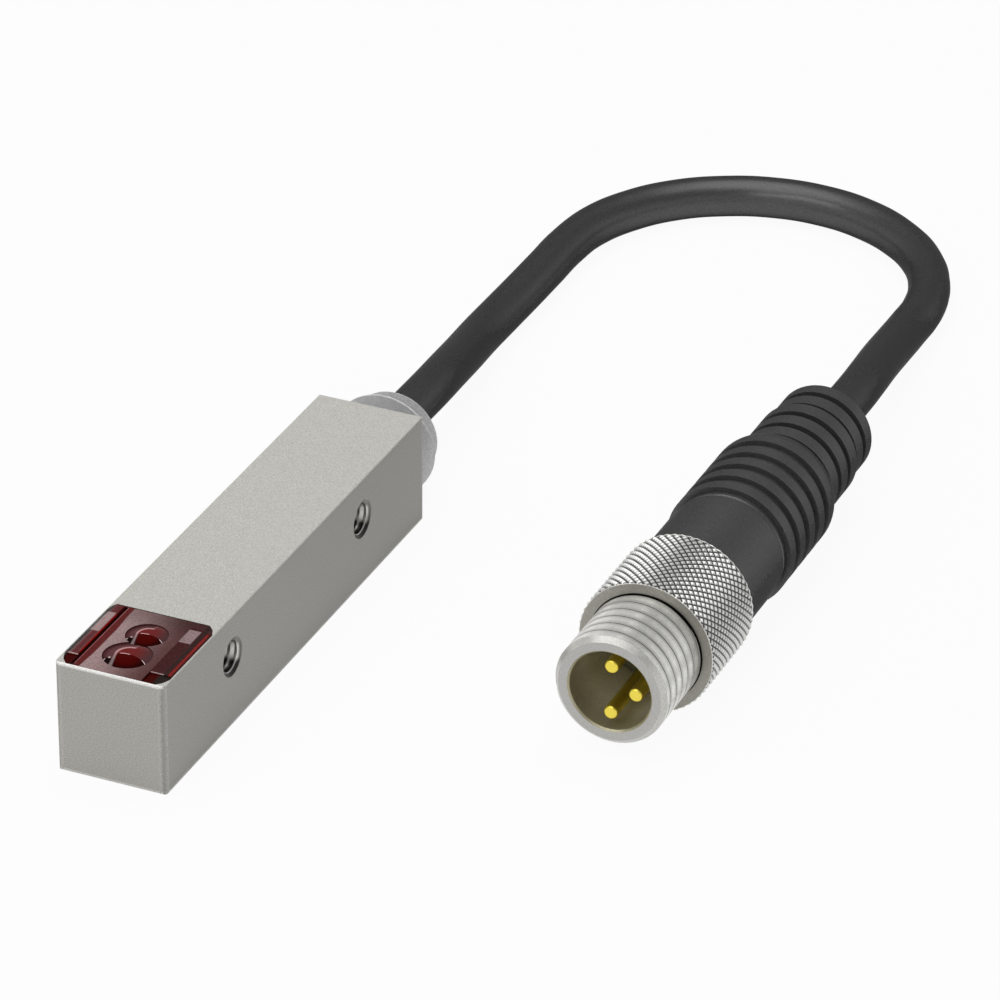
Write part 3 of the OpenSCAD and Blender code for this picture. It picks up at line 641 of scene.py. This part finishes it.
def dress(finishes):
    """Gives every CAD node its own finish, or else that of its slot in the record."""
    for part in frame["record"]["subparts"]:
        piece = NODES[part["node"]]
        piece.data.materials.clear()
        piece.data.materials.append(finishes.get(part["node"], finishes[part["material_slot"]]))


# Cable

CABLE_RADIUS = 1.6
# Middle line from inside the end cap, down to the floor, round the bend and into the grip
CABLE_ROUTE = [
    (0, 15.0, 4.7), (0, 22.1, 4.7), (0, 25.0, 4.65), (-0.2, 28.5, 4.35), (-0.8, 32.8, 3.6),
    (-1.5, 37.3, 2.7), (-2.1, 41.6, 2.0), (-2.3, 45.7, 1.7), (-2.3, 50.2, 1.65),
    (-2.3, 54.2, 1.65), (-2.3, 58.1, 1.65), (-1.8, 62.1, 1.65), (-0.3, 65.7, 1.65),
    (2.2, 68.9, 1.65), (5.3, 71.1, 1.65), (9.0, 72.5, 1.65), (13.1, 72.8, 1.65),
    (17.0, 71.9, 1.65), (20.5, 69.9, 1.65), (23.2, 67.2, 1.65), (25.2, 63.5, 1.65),
    (26.1, 59.7, 1.7), (26.3, 55.8, 1.9), (26.7, 51.7, 2.6), (27.2, 47.5, 3.45),
    (27.7, 43.9, 4.15), (28.1, 40.2, 4.7), (28.2, 36.7, 4.9), (28.2, 34.0, 4.9),
    (28.2, 16.4, 4.9),
]


def add_cable(finishes):
    data = bpy.data.curves.new("cable_jacket", "CURVE")
    data.dimensions = "3D"
    data.bevel_depth = CABLE_RADIUS * MM
    data.bevel_resolution = 8
    data.resolution_u = 10
    data.use_fill_caps = True
    spline = data.splines.new("BEZIER")
    spline.bezier_points.add(len(CABLE_ROUTE) - 1)
    for point, at in zip(spline.bezier_points, CABLE_ROUTE):
        point.co = Vector(at) * MM
        point.handle_left_type = "AUTO"
        point.handle_right_type = "AUTO"
    data.materials.append(finishes["cable_jacket"])
    cable = bpy.data.objects.new("cable_jacket", data)
    bpy.context.scene.collection.objects.link(cable)
    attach(cable, "sensor")
    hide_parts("cable")
    return cable


# Mesh helpers

def circle(count):
    return [math.tau * k / count for k in range(count)]


def join_rings(bm, *rings):
    """Faces between each ring of corners and the next one."""
    for first, second in zip(rings, rings[1:]):
        count = len(first)
        for i in range(count):
            j = (i + 1) % count
            bm.faces.new((first[i], first[j], second[j], second[i]))


def new_piece(bm, name, finish, sharp):
    """An object of the mesh, smooth but for edges sharper than the given angle in degrees."""
    bmesh.ops.recalc_face_normals(bm, faces=bm.faces)
    data = bpy.data.meshes.new(name)
    bm.to_mesh(data)
    bm.free()
    data.materials.append(finish)
    data.shade_smooth()
    data.set_sharp_from_angle(angle=math.radians(sharp))
    piece = bpy.data.objects.new(name, data)
    bpy.context.scene.collection.objects.link(piece)
    return piece


# Turned screw with its thread and its knurl

THREAD_RADIUS = 4.0
THREAD_LENGTH = 6.15
THREAD_CHAMFER = 0.35
THREAD_PITCH = 1.0
THREAD_FIRST = 0.85
GROOVE_WIDTH = 0.12
GROOVE_DEPTH = 0.1
UNDERCUT_WIDTH = 0.15
UNDERCUT_DEPTH = 0.3
RING_RADIUS = 4.9
RING_LENGTH = 7.2
RING_CHAMFER = 0.08
SOCKET_RADIUS = 2.9
SOCKET_DEPTH = 7.0
SOCKET_CHAMFER = 0.12
SEAT_RADIUS = 3.5
SEAT_STEP = 0.65
SEAT_CHAMFER = 0.08
KNURL_COUNT = 53
KNURL_ROWS = 24
KNURL_DEPTH = 0.125
KNURL_FLAT = 0.13
# How far the ring's plain end faces stay below the knurl's valleys
FACE_STEP = 0.03
SCREW_SHARP = 20
# Corners closer than this become one
SAME_CORNER = 0.0005


def knurl_angles():
    """Angles at which every ring of the screw has a corner: the knurl's valleys and tooth tops."""
    half = math.pi / KNURL_COUNT
    return [half * (2 * tooth + step) for tooth in range(KNURL_COUNT)
            for step in (-1, -KNURL_FLAT, KNURL_FLAT)]


def ring_vertex(bm, angle, radius, at):
    """Corner at an angle and radius round the plug's axis, at a distance behind its front face."""
    x = PLUG_AT[0] + radius * math.cos(angle)
    z = PLUG_AT[2] + radius * math.sin(angle)
    return bm.verts.new((x * MM, (PLUG_AT[1] + at) * MM, z * MM))


def groove_depth_at(at, angle):
    """Depth of the thread's V-shaped groove at a place on the sleeve."""
    turn = (at - THREAD_FIRST) / THREAD_PITCH - angle / math.tau
    off = abs(turn - round(turn)) * THREAD_PITCH
    return GROOVE_DEPTH * max(0.0, 1 - off / (GROOVE_WIDTH / 2))


def add_thread(bm, angles):
    """Rings along the threaded sleeve; each follows the helix, held back at both ends."""
    start = THREAD_CHAMFER
    end = THREAD_LENGTH - UNDERCUT_WIDTH
    turns = int(THREAD_LENGTH / THREAD_PITCH) + 2

    def helix_place(turn, part, angle):
        """Distance behind the front face, off the groove's middle by a part of its width."""
        at = THREAD_FIRST + (turn + angle / math.tau) * THREAD_PITCH + part * GROOVE_WIDTH
        return min(max(at, start), end)

    rows = [[start for _ in angles]]
    for turn in range(-1, turns):
        for part in (-0.5, 0, 0.5):
            rows.append([helix_place(turn, part, angle) for angle in angles])
    rows.append([end for _ in angles])
    rings = []
    for row in rows:
        rings.append([ring_vertex(bm, angle, THREAD_RADIUS - groove_depth_at(at, angle), at)
                      for angle, at in zip(angles, row)])
    join_rings(bm, *rings)
    return rings[0], rings[-1]


def knurl_radius(depth, at):
    """Radius of the ring's surface under a depth, held in by the chamfer at both edges."""
    edge = min(at, RING_LENGTH - at)
    return min(RING_RADIUS - depth, RING_RADIUS - RING_CHAMFER + edge)


def add_knurl(bm, start_at):
    """Crossed grooves with a small flat on each tooth; returns the first and last ring of corners.

    Columns count half teeth round the ring, and rows count half teeth along it.
    """
    half_turn = math.pi / KNURL_COUNT
    half_step = RING_LENGTH / KNURL_ROWS
    valleys = {}
    tops = {}

    def corner(store, column, row, depth):
        key = (round(column % (2 * KNURL_COUNT), 6), round(row, 6))
        if key not in store:
            at = row * half_step
            radius = knurl_radius(depth, at)
            store[key] = ring_vertex(bm, column * half_turn, radius, start_at + at)
        return store[key]

    ways = ((1, 0), (0, 1), (-1, 0), (0, -1))
    for row in range(KNURL_ROWS + 1):
        for tooth in range(KNURL_COUNT):
            column = 2 * tooth + row % 2
            low = []
            high = []
            for dx, dy in ways:
                if 0 <= row + dy <= KNURL_ROWS:
                    low.append(corner(valleys, column + dx, row + dy, KNURL_DEPTH))
                    high.append(corner(tops, column + dx * KNURL_FLAT, row + dy * KNURL_FLAT, 0))
                else:
                    low.append(None)
                    high.append(None)
            bm.faces.new([v for v in high if v])
            for i in range(4):
                j = (i + 1) % 4
                if low[i] and low[j]:
                    bm.faces.new((low[i], low[j], high[j], high[i]))
    edges = []
    for row in (0, KNURL_ROWS):
        ring = []
        for tooth in range(KNURL_COUNT):
            column = 2 * tooth
            ring.append(corner(valleys, column - 1, row, KNURL_DEPTH))
            ring.append(corner(tops, column - KNURL_FLAT, row, 0))
            ring.append(corner(tops, column + KNURL_FLAT, row, 0))
        edges.append(ring)
    return edges


def add_screw(finishes):
    bm = bmesh.new()
    angles = knurl_angles()
    ring_end = THREAD_LENGTH + RING_LENGTH
    shoulder = SOCKET_DEPTH + SEAT_STEP

    def turned(outline):
        """Rings of corners along an outline of (radius, distance) points, joined in order."""
        rings = [[ring_vertex(bm, a, radius, at) for a in angles] for radius, at in outline]
        join_rings(bm, *rings)
        return rings[0], rings[-1]

    thread_front, thread_rear = add_thread(bm, angles)
    knurl_front, knurl_rear = add_knurl(bm, THREAD_LENGTH)
    floor_radius = THREAD_RADIUS - UNDERCUT_DEPTH
    face_radius = RING_RADIUS - KNURL_DEPTH - FACE_STEP
    groove_front, groove_rear = turned([
        (floor_radius, THREAD_LENGTH - UNDERCUT_WIDTH), (floor_radius, THREAD_LENGTH),
        (face_radius, THREAD_LENGTH),
    ])
    join_rings(bm, thread_rear, groove_front)
    join_rings(bm, groove_rear, knurl_front)
    rear_outer, front_outer = turned([
        (face_radius, ring_end), (SEAT_RADIUS + SEAT_CHAMFER, ring_end),
        (SEAT_RADIUS, ring_end - SEAT_CHAMFER), (SEAT_RADIUS, shoulder),
        (SOCKET_RADIUS, shoulder), (SOCKET_RADIUS, SOCKET_CHAMFER),
        (SOCKET_RADIUS + SOCKET_CHAMFER, 0), (THREAD_RADIUS - THREAD_CHAMFER, 0),
    ])
    join_rings(bm, knurl_rear, rear_outer)
    join_rings(bm, front_outer, thread_front)
    bmesh.ops.remove_doubles(bm, verts=bm.verts, dist=SAME_CORNER * MM)
    screw = new_piece(bm, "turned_screw", finishes["screw_nickel"], SCREW_SHARP)
    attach(screw, "coupling_screw")
    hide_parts("coupling_screw")
    return screw


# Lenses and the thread in the two side holes

def add_lens(name, at, radius):
    """Closed lens: a shallow dome on a short rim that fills its pocket."""
    bm = bmesh.new()
    y = HEAD_AT[1] + at
    edge = radius - LENS_GAP
    outline = [(edge, LENS_FOOT_Z), (edge, LENS_RIM_Z)]
    for i in range(1, LENS_RINGS):
        share = 1 - i / LENS_RINGS
        height = (LENS_TOP_Z - LENS_RIM_Z) * (1 - share ** 2)
        outline.append((edge * share, LENS_RIM_Z + height))
    rings = []
    for size, z in outline:
        rings.append([bm.verts.new((size * math.cos(a) * MM, (y + size * math.sin(a)) * MM, z * MM))
                      for a in circle(LENS_SEGMENTS)])
    join_rings(bm, *rings)
    bm.faces.new(rings[0])
    bm.faces.new(rings[-1])
    lens = new_piece(bm, name, lens_finish(name, at, radius), LENS_SHARP)
    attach(lens, "sensor")


HOLE_PLACES = {"hole_thread_front": -12.15, "hole_thread_rear": 8.05}
HOLE_HEIGHT = 5.1
HOLE_RADIUS = 1.249
HOLE_SINK = 0.18
HOLE_GAP = 0.02
HOLE_END = 3.97
HOLE_FIRST_CREST = 3.75
HOLE_CREST_RADIUS = 1.12
HOLE_GROOVE_RADIUS = 1.235
HOLE_THREAD_PITCH = 0.5
HOLE_SEGMENTS = 40
HOLE_SHARP = 30


def add_hole_thread(name, y, finish):
    """Closed ring-shaped piece that lines a hole; its inner side carries the thread's ridges."""
    bm = bmesh.new()
    mouth = [(HOLE_RADIUS + HOLE_SINK - HOLE_GAP, HOLE_END), (HOLE_RADIUS, HOLE_END - HOLE_SINK)]
    half_turns = round(2 * HOLE_FIRST_CREST / HOLE_THREAD_PITCH * 2)
    step = 2 * HOLE_FIRST_CREST / half_turns
    ridges = []
    for i in range(half_turns + 1):
        radius = HOLE_GROOVE_RADIUS if i % 2 else HOLE_CREST_RADIUS
        ridges.append((radius, i * step - HOLE_FIRST_CREST))
    inner_radius = HOLE_RADIUS + HOLE_SINK - 2 * HOLE_GAP
    outline = mouth + [(r, -x) for r, x in mouth[::-1]]
    outline += [(inner_radius, -HOLE_END)] + ridges + [(inner_radius, HOLE_END)]
    rings = []
    for r, x in outline:
        corners = [(x, y + r * math.cos(a), HOLE_HEIGHT + r * math.sin(a))
                   for a in circle(HOLE_SEGMENTS)]
        rings.append([bm.verts.new(Vector(corner) * MM) for corner in corners])
    join_rings(bm, *rings, rings[0])
    thread = new_piece(bm, name, finish, HOLE_SHARP)
    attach(thread, "sensor")


# Floor and light

FLOOR_SIZE = 3000.0
FLOOR_GRAIN = 60.0
FLOOR_GREYS = ((0.7, 0.7, 0.7), (0.74, 0.74, 0.74))
# Share of plain white in the floor where it is seen
SEEN_WHITE = 0.94


def seen_directly(tree):
    """1 for rays from the camera, in reflections and through clear pieces, and 0 for light."""
    path = tree.nodes.new("ShaderNodeLightPath")
    seen = math_node(tree, "MAXIMUM", path.outputs["Is Camera Ray"], path.outputs["Is Glossy Ray"])
    return math_node(tree, "MAXIMUM", seen, path.outputs["Is Transmission Ray"])


def floor_finish():
    """Pale matt floor; where it is seen it is lifted to white and keeps part of its shadow."""
    material, tree, shader = new_material("floor_pale", Roughness=0.9)
    fine = noise(tree, FLOOR_GRAIN, detail=3.0)
    feed(tree, shader, "Base Color", layer(tree, spread(tree, fine, 0, 1), *FLOOR_GREYS))
    glow = node(tree, "ShaderNodeEmission", {"Color": (1, 1, 1, 1), "Strength": 1.0})
    share = math_node(tree, "MULTIPLY", seen_directly(tree), SEEN_WHITE)
    mix = node(tree, "ShaderNodeMixShader", {0: share, 1: shader.outputs[0], 2: glow.outputs[0]})
    tree.links.new(mix.outputs[0], tree.nodes["Material Output"].inputs["Surface"])
    return material


def add_floor():
    half = FLOOR_SIZE * MM / 2
    data = bpy.data.meshes.new("floor")
    corners = [(-half, -half, 0), (half, -half, 0), (half, half, 0), (-half, half, 0)]
    data.from_pydata(corners, [], [(0, 1, 2, 3)])
    floor = bpy.data.objects.new("floor", data)
    bpy.context.scene.collection.objects.link(floor)
    data.materials.append(floor_finish())


# Each lamp: place, width, height, and the brightness that it gives a white surface facing it
LAMPS = {
    "lamp_top": dict(at=(-60, 60, 600), wide=600, high=600, strength=0.62),
    "lamp_front": dict(at=(-160, -470, 500), wide=760, high=120, strength=0.27),
}
LAMP_AIM = (10, 10, 5)


def add_lamp(name, at, wide, high, strength):
    data = bpy.data.lights.new(name, "AREA")
    data.shape = "RECTANGLE"
    data.size = wide * MM
    data.size_y = high * MM
    place = Vector(at) * MM
    way = Vector(LAMP_AIM) * MM - place
    data.energy = strength * math.pi ** 2 * way.length_squared
    lamp = bpy.data.objects.new(name, data)
    lamp.location = place
    lamp.rotation_mode = "QUATERNION"
    lamp.rotation_quaternion = way.to_track_quat("-Z", "Y")
    bpy.context.scene.collection.objects.link(lamp)


# Brightness of the surroundings by direction, which is 1 straight up and -1 straight down:
# direction from and to, and brightness from and to, as it lights and as it is seen
SKY_LIGHT = (-0.1, 0.9, 0.08, 0.42)
SKY_SEEN = (0.15, 0.6, 1.0, 0.2)


def add_world():
    """Soft surroundings that light from above; seen or reflected they are white, and grey above."""
    world = bpy.data.worlds.new("studio")
    bpy.context.scene.world = world
    world.use_nodes = True
    tree = world.node_tree
    background = tree.nodes["Background"]
    direction = tree.nodes.new("ShaderNodeTexCoord").outputs["Generated"]
    up = node(tree, "ShaderNodeSeparateXYZ", {0: direction}).outputs["Z"]
    lights = map_range(tree, up, *SKY_LIGHT)
    seen = map_range(tree, up, *SKY_SEEN)
    level = mix_values(tree, seen_directly(tree), lights, seen)
    tree.links.new(level, background.inputs["Strength"])
    background.inputs["Color"].default_value = (1, 1, 1, 1)


def main():
    bpy.context.scene.view_settings.view_transform = "Standard"
    add_camera()
    finishes = make_finishes()
    cable = add_cable(finishes)
    dress(finishes)
    screw = add_screw(finishes)
    metal = thread_finish()
    for name, y in HOLE_PLACES.items():
        add_hole_thread(name, y, metal)
    for lens in LENSES:
        add_lens(**lens)
    add_floor()
    for name, facts in LAMPS.items():
        add_lamp(name, **facts)
    add_world()


main()
